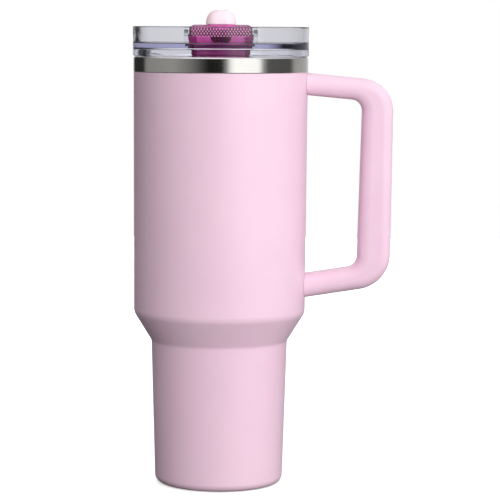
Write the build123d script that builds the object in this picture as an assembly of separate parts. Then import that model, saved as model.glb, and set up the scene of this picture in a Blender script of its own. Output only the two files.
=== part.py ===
from build123d import *
import os
from math import pi, sqrt, tan

# Insulated tumbler: a double-walled steel vessel with a side handle, a clear press-in lid
# and a drinking spout that folds down into the lid.
#
# Frame, in millimetres: the origin is the centre of the base, on the vessel's axis.
# +Z is up, +X points to the handle and -Y to the drinker, who faces the spout.
# The spout stands up and the lid is pushed home: this is every joint's rest position.

# ---------------------------------------------------------------- driving dimensions

# Vessel outline, as radius and height of each corner of the outside.
BASE_R = 35.8
WAIST_R, WAIST_Z = 38.1, 80.6
SHOULDER_R, SHOULDER_Z = 48.0, 96.6
RIM_R = 48.5
BAND_R = 48.7
COAT_TOP_Z = 230.9
LIP_Z = 239.4
BASE_ROUND = 4.4
WAIST_ROUND = 4.0
SHOULDER_ROUND = 8.0

SHEET = 0.5
VACUUM_GAP = 2.0
LIP_ROUND = 1.0
STANDING_RING_R = 29.0
LINER_FLOOR_Z = 7.2
LINER_SEAM_Z = 14.0
LINER_FLOOR_ROUND = 6.0
BASE_LAP = 2.2
DIMPLE_R, DIMPLE_RISE, SEAL_HOLE_R = 7.0, 1.4, 1.5
SEAL_BEAD_R, SEAL_BEAD_THICK, SEAL_BEAD_EDGE = 4.2, 1.0, 0.6
GETTER_X = 18.0
GETTER_CUP_R, GETTER_CUP_HIGH = 5.0, 0.6
GETTER_PELLET_R, GETTER_PELLET_HIGH = 4.0, 2.6

# Lid: a flange that rests over the steel lip, and a skirt whose gasket grips the liner.
LID_R = 49.0
LID_WALL = 3.2
LID_FOOT_Z = 239.7
LID_RIM_Z = 256.0
FLOOR_Z = 246.6
FLOOR_THICK = 2.4
SKIRT_R = 44.6
SKIRT_WALL = 2.8
SKIRT_FOOT_Z = 225.0
GROOVE_R = 43.1
GROOVE_FOOT_Z, GROOVE_TOP_Z = 229.4, 234.6
GASKET_R = 45.2
GASKET_GAP = 0.2
GASKET_LIPS = 2
GASKET_ROOT_GAP = 0.3
LIP_RISE_END, LIP_TIP_END, LIP_FALL_END = 0.35, 0.5, 0.85

# Spout: a barrel that turns on two stub pins, above a tub let into the lid's floor.
SPOUT_Y = -16.0
AXLE_Z = 250.2
BARREL_R = 6.8
BARREL_HALF = 17.3
BARREL_CORE_HALF = 13.7
BARREL_END_ROUND = 3.0
HUB_R = 3.2
BORE_R = 3.0
PIN_R = 1.5
PIN_RUNNING_GAP, PIN_END_GAP = 0.05, 0.3
PIN_INNER_X, PIN_OUTER_X = 13.0, 19.6
EAR_GAP = 0.4
EAR_THICK = 2.4
EAR_HALF = 4.2

MOUTH_HALF_X, MOUTH_HALF_Y = 8.3, 6.2
MOUTH_FOOT_Z, MOUTH_TOP_Z = 257.2, 265.1
MOUTH_CROWN_ROUND = 5.8
SEAT_HALF_X, SEAT_HALF_Y = 7.6, 4.6
NIPPLE_HALF_X, NIPPLE_HALF_Y = 5.6, 4.3
NIPPLE_TOP_Z = 261.6
DRINKING_SLOT = (6.4, 2.4)

TUB_HALF = 15.8
TUB_WALL = 1.6
TUB_FOOT_Z = 240.0
TUB_FLOOR_THICK = 1.6
TUB_FRONT_GAP = 0.5
TUB_REAR = 18.6
TUB_CORNER = 3.0
FLANGE_REACH, FLANGE_THICK = 1.5, 0.8
GASKET_THICK = 0.5
FRONT_TOP_Z = 250.8
FRONT_POST_INNER = 12.8
FRONT_POST_PROUD = 0.7
THUMB_NOTCH_HALF, THUMB_NOTCH_DEPTH, THUMB_NOTCH_ROUND = 5.6, 3.8, 2.4
FIT_GAP = 0.1
LID_RIM_ROUND, FLOOR_ROUND = 0.8, 1.0
PORT_SEAL_R, PORT_SEAL_TOP_Z = 6.2, 243.6
SADDLE_GAP = 0.2

STRAW_R, STRAW_BORE_R = 4.25, 3.3
STRAW_TOP_Z, STRAW_FOOT_Z = 238.0, 11.0
STRAW_SLANT = 30
SOCKET_R, SOCKET_FOOT_Z, SOCKET_GAP = 6.3, 226.5, 0.05
STRAW_SEAL_Z, STRAW_SEAL_WIDTH, STRAW_SEAL_THICK = 230.0, 1.6, 1.0

VENT_Y = 24.0
VENT_STEM_R, VENT_FLAP_R, VENT_BULB_R = 1.5, 4.6, 2.2
VENT_FLAP_EDGE, VENT_FLAP_CROWN = 0.7, 1.2
VENT_BULB_DROP, VENT_TAIL_DROP, VENT_TAIL_R = 1.2, 4.0, 0.9
VENT_HOLE_R, VENT_HOLE_PITCH_R = 0.7, 3.0

# Handle: corners of its side outline, as distance from the axis and height.
HANDLE_HALF = 10.5
HANDLE_ROUND = 5.9
HANDLE_START_X = 42.0
OUTER_TOP = (96.1, 226.1)
OUTER_FOOT = (95.2, 112.8)
INNER_TOP = (79.2, 215.5)
INNER_FOOT = (77.0, 122.9)
UPPER_ARM_SLOPE = -0.0925
LOWER_ARM_SLOPE = 0.156
OUTER_TOP_ROUND, OUTER_FOOT_ROUND = 18.0, 20.0
INNER_ROUND = 6.5
WALL_GAP = 0.15

INSERT_HALF = 4.0
INSERT_THICK = 2.6
INSERT_START_X = 52.5
CORE_HALF = 3.6
CORE_DEPTH = 6.0
CORE_COUNT = 4
CORE_END_GAP, CORE_RIB = 14.0, 2.0

BRACKET_REACH_X = 62.0
TONGUE_HALF = 4.5
TONGUE_THICK = 3.6
PAD_HALF_Y, PAD_HALF_Z = 6.4, 3.6
PAD_THICK = 1.5
POCKET_GAP = 0.15
SCREW_X = 56.0
SCREW_R, SCREW_HEAD_R, SCREW_HEAD = 1.95, 3.4, 1.9
SCREW_LENGTH = 6.0
SCREW_WEB, SCREW_CLEAR = 1.8, 0.7
SCREW_GAP, SCREW_TIP_GAP, DRILL_GAP = 0.2, 0.4, 0.05
HEX_SOCKET_R, HEX_SOCKET_DEPTH = 1.45, 1.1

# How far a cutting shape reaches past the surface that it cuts.
OVERCUT = 1.0


# ---------------------------------------------------------------- shared helpers

def spun(*points):
    """A solid of revolution about Z from a closed outline of (radius, height) points."""
    return revolve(Plane.XZ * make_face(Polyline(*points, close=True)), Axis.Z)


def offset_line(start, end, inset):
    """A point on the line and its direction, after moving the line towards the axis by inset."""
    run, rise = end[0] - start[0], end[1] - start[1]
    length = sqrt(run * run + rise * rise)
    return (start[0] - inset * rise / length, start[1] + inset * run / length), (run, rise)


def crossing(line_a, line_b):
    """The point where two lines, each a point and a direction, cross."""
    (ax, az), (au, aw) = line_a
    (bx, bz), (bu, bw) = line_b
    t = ((bx - ax) * bw - (bz - az) * bu) / (au * bw - aw * bu)
    return ax + t * au, az + t * aw


def wall_radius(line, height):
    """The radius of a nearly upright line at a height."""
    (x, z), (u, w) = line
    return x + (height - z) * u / w


def vessel_solid(inset, foot, top, foot_round):
    """The vessel's outline moved inwards by inset, cut off at foot and top, as a filled solid."""
    lower = offset_line((BASE_R, 0), (WAIST_R, WAIST_Z), inset)
    slope = offset_line((WAIST_R, WAIST_Z), (SHOULDER_R, SHOULDER_Z), inset)
    upper = offset_line((SHOULDER_R, SHOULDER_Z), (RIM_R, COAT_TOP_Z), inset)
    waist, shoulder = crossing(lower, slope), crossing(slope, upper)
    outline = make_face(Polyline(
        (0, foot), (wall_radius(lower, foot), foot), waist, shoulder,
        (wall_radius(upper, top), top), (0, top), close=True))

    def rounded(face, corner, radius):
        nearest = face.vertices().sort_by_distance((corner[0], corner[1], 0))[0]
        return fillet(nearest, radius)

    outline = rounded(outline, waist, WAIST_ROUND + inset)
    outline = rounded(outline, shoulder, SHOULDER_ROUND - inset)
    if foot_round:
        outline = rounded(outline, (wall_radius(lower, foot), foot), foot_round)
    return revolve(Plane.XZ * outline, Axis.Z)


def save(name, shape):
    """Writes one piece, as one named STEP file."""
    shape.label = name
    export_step(shape, f"parts/{name}.step")


# ---------------------------------------------------------------- vessel

def outer_wall():
    """The coated outer shell, turned in at the bottom to the ring that the vessel stands on."""
    shell = vessel_solid(0, 0, COAT_TOP_Z, BASE_ROUND)
    shell -= vessel_solid(SHEET, SHEET, LIP_Z, BASE_ROUND - SHEET)
    return shell - Cylinder(STANDING_RING_R, 4 * SHEET)


def inner_liner():
    """The bare steel liner, folded over at the mouth into the band above the coating."""
    inset = SHEET + VACUUM_GAP
    wall = vessel_solid(inset, LINER_SEAM_Z, LIP_Z, 0)
    fold_r = RIM_R - inset
    band = spun((fold_r - SHEET / 2, LIP_Z - SHEET), (BAND_R - SHEET, LIP_Z - SHEET),
                (BAND_R - SHEET, COAT_TOP_Z), (BAND_R, COAT_TOP_Z),
                (BAND_R, LIP_Z), (fold_r - SHEET / 2, LIP_Z))
    shell = wall + band - vessel_solid(inset + SHEET, 0, LIP_Z + SHEET, 0)
    lip_edges = shell.edges().filter_by(GeomType.CIRCLE).group_by(Axis.Z)[-1]
    return fillet(lip_edges, LIP_ROUND)


def inner_base():
    """The dished bottom of the liner, butt-welded to its wall."""
    inset = SHEET + VACUUM_GAP
    dish = vessel_solid(inset, LINER_FLOOR_Z, LIP_Z, LINER_FLOOR_ROUND)
    dish -= vessel_solid(inset + SHEET, LINER_FLOOR_Z + SHEET, LIP_Z + SHEET,
                         LINER_FLOOR_ROUND - SHEET)
    return dish & Pos(0, 0, LINER_SEAM_Z / 2) * Cylinder(RIM_R, LINER_SEAM_Z)


def base_plate():
    """The disc that closes the outer wall, with a raised dimple around the pumping hole."""
    low, high = SHEET, 2 * SHEET
    slope_end = DIMPLE_R + DIMPLE_RISE
    # On the dimple's 45 degree slope this shift keeps the sheet's thickness.
    shift = SHEET * tan(pi / 8)
    return spun((SEAL_HOLE_R, low + DIMPLE_RISE), (DIMPLE_R, low + DIMPLE_RISE),
                (slope_end, low), (STANDING_RING_R + BASE_LAP, low),
                (STANDING_RING_R + BASE_LAP, high), (slope_end + shift, high),
                (DIMPLE_R + shift, high + DIMPLE_RISE), (SEAL_HOLE_R, high + DIMPLE_RISE))


def vacuum_seal():
    """The solder glass bead that closes the pumping hole, flush inside the dimple."""
    low = SHEET + DIMPLE_RISE
    foot = low - SEAL_BEAD_THICK
    bead = spun((0, foot), (SEAL_BEAD_R - SEAL_BEAD_EDGE, foot), (SEAL_BEAD_R, low), (0, low))
    return bead + Pos(0, 0, low + SHEET / 2) * Cylinder(SEAL_HOLE_R, SHEET)


def getter():
    """The pellet that keeps the vacuum, in its little cup on the base plate."""
    upright = (Align.CENTER, Align.CENTER, Align.MIN)
    cup = Cylinder(GETTER_CUP_R, GETTER_CUP_HIGH, align=upright)
    pellet = Cylinder(GETTER_PELLET_R, GETTER_PELLET_HIGH, align=upright)
    return Pos(GETTER_X, 0, 2 * SHEET) * (cup + pellet)


# ---------------------------------------------------------------- handle

def arm_line(corner, slope):
    """The end of an arm's edge, inside the vessel, from its outer corner and slope."""
    return HANDLE_START_X, corner[1] + slope * (HANDLE_START_X - corner[0])


def handle_window(grow=0.0):
    """The gap between the handle and the vessel as a flat shape, grown into the handle."""
    shape = make_face(Polyline(
        arm_line(INNER_TOP, UPPER_ARM_SLOPE), INNER_TOP, INNER_FOOT,
        arm_line(INNER_FOOT, LOWER_ARM_SLOPE), close=True))
    corners = shape.vertices().sort_by(Axis.X)[-2:]
    shape = fillet(corners, INNER_ROUND)
    return offset(shape, grow) if grow else shape


def upright_slab(shape, half):
    """A flat (x, z) shape, made half deep to each side of the handle's middle plane."""
    return extrude(Plane.XZ * shape, half, both=True)


def tongue_floor(upper):
    """The height of the bracket's tongue, on its screw side."""
    step = INSERT_THICK + SCREW_CLEAR + SCREW_HEAD + SCREW_WEB
    if upper:
        return INNER_TOP[1] + UPPER_ARM_SLOPE * (SCREW_X - INNER_TOP[0]) + step
    return INNER_FOOT[1] + LOWER_ARM_SLOPE * (SCREW_X - INNER_FOOT[0]) - step


def bracket_blank(upper, gap):
    """A bracket's outside, grown by gap: a pad that lies on the wall, and a tongue along the arm."""
    side = 1 if upper else -1
    middle = tongue_floor(upper) + side * TONGUE_THICK / 2
    tongue = Pos(BRACKET_REACH_X / 2 + gap, 0, middle) * Box(
        BRACKET_REACH_X, 2 * (TONGUE_HALF + gap), TONGUE_THICK + 2 * gap)
    pad_ring = Cylinder(RIM_R + PAD_THICK + gap, 2 * (PAD_HALF_Z + gap))
    pad = Pos(0, 0, middle) * (pad_ring & Pos(RIM_R, 0, 0) * Box(
        RIM_R, 2 * (PAD_HALF_Y + gap), 2 * (PAD_HALF_Z + gap)))
    return tongue + pad


def screw_cut(upper, head_r, shank_r, length):
    """A screw's head and shank as plain cylinders, seated against the web under the head."""
    side = 1 if upper else -1
    seat = tongue_floor(upper) - side * SCREW_WEB
    head = Pos(SCREW_X, 0, seat - side * SCREW_HEAD / 2) * Cylinder(head_r, SCREW_HEAD)
    shank = Pos(SCREW_X, 0, seat + side * length / 2) * Cylinder(shank_r, length)
    return head + shank


def bracket(upper):
    """A steel bracket welded to the wall, whose tongue takes the handle's screw."""
    drill = Pos(SCREW_X, 0, tongue_floor(upper)) * Cylinder(SCREW_R + DRILL_GAP, 4 * TONGUE_THICK)
    return bracket_blank(upper, 0) - vessel_solid(0, 0, LIP_Z, BASE_ROUND) - drill


def handle_frame():
    """The C-shaped moulding, open towards the fingers where the grip insert lies."""
    outline = make_face(Polyline(
        arm_line(OUTER_TOP, UPPER_ARM_SLOPE), OUTER_TOP, OUTER_FOOT,
        arm_line(OUTER_FOOT, LOWER_ARM_SLOPE), close=True))
    outline = fillet(outline.vertices().sort_by_distance((*OUTER_TOP, 0))[0], OUTER_TOP_ROUND)
    outline = fillet(outline.vertices().sort_by_distance((*OUTER_FOOT, 0))[0], OUTER_FOOT_ROUND)
    frame = upright_slab(outline - handle_window(), HANDLE_HALF)
    sides = frame.faces().filter_by(Axis.Y)
    long_edges = [e for f in sides for e in f.edges() if e.bounding_box().max.X > HANDLE_START_X + OVERCUT]
    frame = fillet(long_edges, HANDLE_ROUND)
    frame -= vessel_solid(-WALL_GAP, -OVERCUT, LIP_Z, 0)
    frame -= insert_blank()
    for upper in (True, False):
        frame -= bracket_blank(upper, POCKET_GAP)
        frame -= screw_cut(upper, SCREW_HEAD_R + SCREW_GAP, SCREW_R + SCREW_GAP,
                           SCREW_LENGTH + SCREW_TIP_GAP)
    return frame - grip_cores()


def grip_cores():
    """Pockets behind the insert that keep the grip's wall even, with ribs left between them."""
    foot, top = INNER_FOOT[1] + CORE_END_GAP, INNER_TOP[1] - CORE_END_GAP
    step = (top - foot) / CORE_COUNT
    lean = (INNER_TOP[0] - INNER_FOOT[0]) / (INNER_TOP[1] - INNER_FOOT[1])
    cores = None
    for i in range(CORE_COUNT):
        z = foot + (i + 0.5) * step
        x = INNER_FOOT[0] + lean * (z - INNER_FOOT[1]) + INSERT_THICK
        core = Pos(x + (CORE_DEPTH - OVERCUT) / 2, 0, z) * Box(
            CORE_DEPTH + OVERCUT, 2 * CORE_HALF, step - CORE_RIB)
        cores = core if cores is None else cores + core
    return cores


def insert_blank():
    """The strip that lines the inside of the handle, flush with it."""
    strip = handle_window(INSERT_THICK) - handle_window()
    reach, height = OUTER_TOP[0] - INSERT_START_X, OUTER_TOP[1] - OUTER_FOOT[1]
    strip &= Pos(INSERT_START_X + reach / 2, OUTER_FOOT[1] + height / 2) * Rectangle(reach, height)
    return upright_slab(strip, INSERT_HALF)


def handle_screws():
    """Two pan-head screws with hexagon sockets, one in each bracket."""
    screws = []
    for upper in (True, False):
        side = 1 if upper else -1
        seat = tongue_floor(upper) - side * SCREW_WEB
        socket = extrude(RegularPolygon(HEX_SOCKET_R, 6), HEX_SOCKET_DEPTH, both=True)
        screw = screw_cut(upper, SCREW_HEAD_R, SCREW_R, SCREW_LENGTH)
        screws.append(screw - Pos(SCREW_X, 0, seat - side * SCREW_HEAD) * socket)
    return Compound(children=screws)


# ---------------------------------------------------------------- lid

def lid_shell():
    """The clear lid: a rim wall, a sunk floor, a skirt with a gasket groove and the spout's ears."""
    inner_r, skirt_bore = LID_R - LID_WALL, SKIRT_R - SKIRT_WALL
    under_z = FLOOR_Z - FLOOR_THICK
    lid = spun((0, FLOOR_Z), (inner_r, FLOOR_Z), (inner_r, LID_RIM_Z), (LID_R, LID_RIM_Z),
               (LID_R, LID_FOOT_Z), (SKIRT_R, LID_FOOT_Z),
               (SKIRT_R, GROOVE_TOP_Z), (GROOVE_R, GROOVE_TOP_Z),
               (GROOVE_R, GROOVE_FOOT_Z), (SKIRT_R, GROOVE_FOOT_Z),
               (SKIRT_R, SKIRT_FOOT_Z), (skirt_bore, SKIRT_FOOT_Z),
               (skirt_bore, under_z), (0, under_z))
    lid = fillet(lid.edges().filter_by(GeomType.CIRCLE).group_by(Axis.Z)[-1], LID_RIM_ROUND)
    floor_edge = lid.edges().filter_by(GeomType.CIRCLE).sort_by_distance((inner_r, 0, FLOOR_Z))[0]
    lid = fillet(floor_edge, FLOOR_ROUND)
    lid -= tub_plan(FIT_GAP, under_z - OVERCUT, FLOOR_Z + OVERCUT)
    lid -= tub_plan(FLANGE_REACH + FIT_GAP, FLOOR_Z - FLANGE_THICK - GASKET_THICK, FLOOR_Z + OVERCUT)
    for side in (-1, 1):
        lid += ear(side)
        lid -= Pos(side * (BARREL_HALF + EAR_GAP), SPOUT_Y, AXLE_Z) * Rot(0, 90, 0) * Cylinder(
            PIN_R, 2 * (PIN_OUTER_X - BARREL_HALF - EAR_GAP))
    return lid - vent_holes()


def ear(side):
    """One upright ear, rounded at the top, that holds a stub pin."""
    middle = side * (BARREL_HALF + EAR_GAP + EAR_THICK / 2)
    foot = FLOOR_Z - FLOOR_THICK / 2
    post = Pos(middle, SPOUT_Y, (AXLE_Z + foot) / 2) * Box(EAR_THICK, 2 * EAR_HALF, AXLE_Z - foot)
    head = Pos(middle, SPOUT_Y, AXLE_Z) * Rot(0, 90, 0) * Cylinder(EAR_HALF, EAR_THICK)
    return post + head


def tub_front():
    """The y of the tub's front face."""
    return SPOUT_Y - BARREL_R - TUB_FRONT_GAP - TUB_WALL


def tub_plan(grow, foot, top):
    """The tub's outside, seen from above, as an upright block between two heights."""
    front, rear = tub_front(), SPOUT_Y + TUB_REAR
    plan = Pos(0, (front + rear) / 2) * RectangleRounded(
        2 * (TUB_HALF + grow), rear - front + 2 * grow, TUB_CORNER + grow)
    return Pos(0, 0, foot) * extrude(plan, top - foot)


def vent_holes():
    """The hole for the vent valve's stem, and three air holes under its flap."""
    holes = Pos(0, VENT_Y, FLOOR_Z) * Cylinder(VENT_STEM_R, 4 * FLOOR_THICK)
    for spot in PolarLocations(VENT_HOLE_PITCH_R, 3):
        holes += Pos(0, VENT_Y, FLOOR_Z) * spot * Cylinder(VENT_HOLE_R, 4 * FLOOR_THICK)
    return holes


def lid_gasket():
    """The silicone ring in the skirt's groove, with two soft lips that touch the liner."""
    inner = GROOVE_R + GASKET_GAP
    foot, top = GROOVE_FOOT_Z + GASKET_GAP, GROOVE_TOP_Z - GASKET_GAP
    pitch = (top - foot) / GASKET_LIPS
    outline = [(inner, foot)]
    root = SKIRT_R - GASKET_ROOT_GAP
    for i in range(GASKET_LIPS):
        base = foot + i * pitch
        outline += [(root, base), (GASKET_R, base + LIP_RISE_END * pitch),
                    (GASKET_R, base + LIP_TIP_END * pitch), (root, base + LIP_FALL_END * pitch)]
    outline += [(root, top), (inner, top)]
    return spun(*outline)


def spout_housing():
    """The tub in the lid's floor: a flange, a front wall, a trough and the straw's socket."""
    tub = tub_plan(0, TUB_FOOT_Z, FLOOR_Z)
    tub += tub_plan(FLANGE_REACH, FLOOR_Z - FLANGE_THICK, FLOOR_Z)
    front = tub_front()
    height = FRONT_TOP_Z - FLOOR_Z
    middle = FLOOR_Z + height / 2
    wall = Pos(0, front + TUB_WALL / 2, middle) * Box(2 * BARREL_HALF, TUB_WALL, height)
    post_width = BARREL_HALF - FRONT_POST_INNER
    for side in (-1, 1):
        wall += Pos(side * (FRONT_POST_INNER + post_width / 2), front, middle) * Box(
            post_width, 2 * FRONT_POST_PROUD, height)
    tub += wall
    tub -= tub_plan(-TUB_WALL, TUB_FOOT_Z + TUB_FLOOR_THICK, LID_RIM_Z) - Pos(
        0, front + TUB_WALL / 2, FRONT_TOP_Z) * Box(2 * BARREL_HALF, TUB_WALL, 2 * height)
    tub -= Pos(0, front, FRONT_TOP_Z) * Rot(90, 0, 0) * extrude(
        RectangleRounded(2 * THUMB_NOTCH_HALF, 2 * THUMB_NOTCH_DEPTH, THUMB_NOTCH_ROUND),
        4 * TUB_WALL, both=True)
    socket_length = TUB_FOOT_Z - SOCKET_FOOT_Z
    tub += Pos(0, SPOUT_Y, SOCKET_FOOT_Z + socket_length / 2) * Cylinder(SOCKET_R, socket_length)
    tub -= Pos(0, SPOUT_Y, TUB_FOOT_Z) * Cylinder(STRAW_BORE_R, 2 * socket_length)
    depth = STRAW_TOP_Z - SOCKET_FOOT_Z
    tub -= Pos(0, SPOUT_Y, SOCKET_FOOT_Z + depth / 2) * Cylinder(STRAW_R + SOCKET_GAP, depth)
    return tub - Pos(0, SPOUT_Y, STRAW_SEAL_Z) * Cylinder(STRAW_R + STRAW_SEAL_THICK, STRAW_SEAL_WIDTH)


def housing_gasket():
    """The silicone loop squeezed between the tub's flange and the ledge in the lid's floor."""
    top = FLOOR_Z - FLANGE_THICK
    loop = tub_plan(FLANGE_REACH, top - GASKET_THICK, top)
    return loop - tub_plan(FIT_GAP, top - OVERCUT, top + OVERCUT)


def port_seal():
    """The saddle-shaped silicone seal under the barrel, which closes when the spout is folded."""
    foot = TUB_FOOT_Z + TUB_FLOOR_THICK
    height = PORT_SEAL_TOP_Z - foot
    seal = Pos(0, SPOUT_Y, foot + height / 2) * (
        Cylinder(PORT_SEAL_R, height) - Cylinder(STRAW_BORE_R + FIT_GAP, height))
    return seal - barrel_cylinder(BARREL_R + SADDLE_GAP, 2 * BARREL_HALF)


def straw_seal():
    """A thin silicone ring in the socket, around the straw."""
    ring = Cylinder(STRAW_R + STRAW_SEAL_THICK, STRAW_SEAL_WIDTH) - Cylinder(
        STRAW_R, STRAW_SEAL_WIDTH)
    return Pos(0, SPOUT_Y, STRAW_SEAL_Z) * ring


def straw():
    """The stiff straw, cut at a slant at its foot so that it can't seal on the floor."""
    length = STRAW_TOP_Z - STRAW_FOOT_Z
    tube = Pos(0, SPOUT_Y, STRAW_FOOT_Z + length / 2) * (
        Cylinder(STRAW_R, length) - Cylinder(STRAW_BORE_R, length))
    cut = 4 * STRAW_R
    slant = Rot(STRAW_SLANT, 0, 0) * Pos(0, 0, -cut / 2) * Box(cut, cut, cut)
    return tube - Pos(0, SPOUT_Y, STRAW_FOOT_Z) * slant


def vent_valve():
    """The umbrella valve that lets air in: a thin flap, a stem through the floor and a bulb below."""
    under = FLOOR_Z - FLOOR_THICK
    tail, crown = under - VENT_TAIL_DROP, FLOOR_Z + VENT_FLAP_CROWN
    valve = spun((0, tail), (VENT_TAIL_R, tail), (VENT_BULB_R, under - VENT_BULB_DROP),
                 (VENT_STEM_R, under), (VENT_STEM_R, FLOOR_Z), (VENT_FLAP_R, FLOOR_Z),
                 (VENT_FLAP_R, FLOOR_Z + VENT_FLAP_EDGE), (VENT_STEM_R, crown), (0, crown))
    return Pos(0, VENT_Y, 0) * valve


# ---------------------------------------------------------------- spout

def barrel_cylinder(radius, length):
    """A cylinder along the spout's axle."""
    return Pos(0, SPOUT_Y, AXLE_Z) * Rot(0, 90, 0) * Cylinder(radius, length)


def oval(half_x, half_y, foot, top):
    """An upright post with two flat sides and round ends on the spout's centre line."""
    return Pos(0, SPOUT_Y, foot) * extrude(SlotOverall(2 * half_x, 2 * half_y), top - foot)


def spout_carrier():
    """The barrel with its drinking bore, its seat for the mouthpiece and its nipple."""
    core = barrel_cylinder(BARREL_R, 2 * BARREL_CORE_HALF)
    hub = barrel_cylinder(HUB_R, 2 * BARREL_HALF)
    ends = barrel_cylinder(BARREL_R, 2 * BARREL_HALF)
    ends = fillet(ends.edges().filter_by(GeomType.CIRCLE), BARREL_END_ROUND)
    ends &= Pos(0, SPOUT_Y - BARREL_R, AXLE_Z + BARREL_R) * Box(
        2 * BARREL_HALF, 2 * BARREL_R, 2 * BARREL_R)
    carrier = core + hub + ends
    carrier += oval(SEAT_HALF_X, SEAT_HALF_Y, AXLE_Z, MOUTH_FOOT_Z)
    carrier += oval(NIPPLE_HALF_X, NIPPLE_HALF_Y, AXLE_Z, NIPPLE_TOP_Z)
    carrier -= Pos(0, SPOUT_Y, AXLE_Z) * Cylinder(BORE_R, 2 * (MOUTH_TOP_Z - AXLE_Z))
    depth = BARREL_HALF - PIN_INNER_X + PIN_END_GAP
    for side in (-1, 1):
        carrier -= Pos(side * (BARREL_HALF - depth / 2), SPOUT_Y, AXLE_Z) * Rot(
            0, 90, 0) * Cylinder(PIN_R + PIN_RUNNING_GAP, depth)
    return carrier


def spout_pins():
    """Two stub pins, fixed in the ears, on which the barrel turns."""
    length = PIN_OUTER_X - PIN_INNER_X
    middle = (PIN_OUTER_X + PIN_INNER_X) / 2
    pins = [Pos(side * middle, SPOUT_Y, AXLE_Z) * Rot(0, 90, 0) * Cylinder(PIN_R, length)
            for side in (-1, 1)]
    return Compound(children=pins)


def mouthpiece():
    """The soft domed mouthpiece, pushed over the nipple, with a slot to drink from."""
    dome = oval(MOUTH_HALF_X, MOUTH_HALF_Y, MOUTH_FOOT_Z, MOUTH_TOP_Z)
    dome = fillet(dome.edges().group_by(Axis.Z)[-1], MOUTH_CROWN_ROUND)
    dome -= oval(NIPPLE_HALF_X, NIPPLE_HALF_Y, MOUTH_FOOT_Z - OVERCUT, NIPPLE_TOP_Z)
    slot = extrude(SlotOverall(*DRINKING_SLOT), MOUTH_TOP_Z - AXLE_Z)
    return dome - Pos(0, SPOUT_Y, AXLE_Z) * slot


PIECES = {
    "outer_wall": outer_wall,
    "inner_liner": inner_liner,
    "inner_base": inner_base,
    "base_plate": base_plate,
    "vacuum_seal": vacuum_seal,
    "getter": getter,
    "upper_handle_bracket": lambda: bracket(True),
    "lower_handle_bracket": lambda: bracket(False),
    "handle_frame": handle_frame,
    "handle_grip_insert": insert_blank,
    "handle_screws": handle_screws,
    "lid_gasket": lid_gasket,
    "lid_shell": lid_shell,
    "spout_housing": spout_housing,
    "housing_gasket": housing_gasket,
    "port_seal": port_seal,
    "straw_seal": straw_seal,
    "straw": straw,
    "vent_valve": vent_valve,
    "spout_pins": spout_pins,
    "spout_carrier": spout_carrier,
    "mouthpiece": mouthpiece,
}

os.makedirs("parts", exist_ok=True)
for name, make in PIECES.items():
    save(name, make())
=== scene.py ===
# %% [markdown]
# # An insulated tumbler with a fold-down spout
#
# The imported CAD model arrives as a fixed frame: every node already sits where it belongs, in metres.
# This lesson keeps the nodes whose shape is right and gives them a finish. Where the real surface
# is smoother or finer than a CAD mesh, such as the clear lid or the knurled barrel, a new surface
# is worked out with numpy and stands for the node.

# %% Load the frame
from math import cos, pi, radians, sin

import bmesh
import bpy
import numpy as np
from mathutils import Euler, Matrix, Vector


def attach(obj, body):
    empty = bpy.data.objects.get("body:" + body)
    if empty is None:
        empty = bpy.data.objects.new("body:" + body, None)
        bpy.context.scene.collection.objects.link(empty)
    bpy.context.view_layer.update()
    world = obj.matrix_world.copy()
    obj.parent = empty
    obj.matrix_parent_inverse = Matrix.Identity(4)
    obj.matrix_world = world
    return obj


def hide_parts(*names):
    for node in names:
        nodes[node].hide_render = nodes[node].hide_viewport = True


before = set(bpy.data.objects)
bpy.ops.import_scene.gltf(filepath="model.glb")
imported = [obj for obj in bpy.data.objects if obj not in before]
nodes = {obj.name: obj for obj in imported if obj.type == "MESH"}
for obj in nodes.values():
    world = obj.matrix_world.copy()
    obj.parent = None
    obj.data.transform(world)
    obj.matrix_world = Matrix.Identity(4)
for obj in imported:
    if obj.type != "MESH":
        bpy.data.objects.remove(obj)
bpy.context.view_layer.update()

MM = 0.001

# %% [markdown]
# ## Camera
#
# A product picture is taken from far away with a long lens, so that upright walls stay upright.
# A 162 mm lens on a 36 mm sensor, 1.26 m in front of the tumbler, does the same. The camera is
# level with the lid's rim and looks slightly down, and a small shift leaves room for the handle.
# A short lens from close by would be the other way: it shows more of the lid's top, but it makes
# the foot shrink and the walls lean.

# %% Camera
LENS_MM, SENSOR_MM, HANDLE_SHIFT = 162.0, 36.0, 0.058
LOOK_DOWN_DEG, ROLL_DEG = 5.635, -0.33

camera = bpy.data.cameras.new("camera")
camera.lens, camera.sensor_width = LENS_MM, SENSOR_MM
camera.shift_x = HANDLE_SHIFT
camera.clip_start, camera.clip_end = 0.05, 50.0
camera_object = bpy.data.objects.new("camera", camera)
camera_object.location = (0.0, -1.257, 0.2552)
camera_object.rotation_euler = Euler((radians(90 - LOOK_DOWN_DEG), radians(ROLL_DEG), 0.0), "XYZ")
bpy.context.scene.collection.objects.link(camera_object)
bpy.context.scene.camera = camera_object
bpy.context.scene.view_settings.view_transform = "Standard"
print("camera at", tuple(round(v, 3) for v in camera_object.location))

# %% [markdown]
# ## Shader maths as Python
#
# Materials are long formulas. A small class wraps one socket, so that `1 - mask * 0.5` adds the
# Math nodes by itself. Vectors go through Vector Math and colours through Mix, because a Math node
# would turn them grey. Linking each node by hand gives the same trees, but hides the formula.

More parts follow.
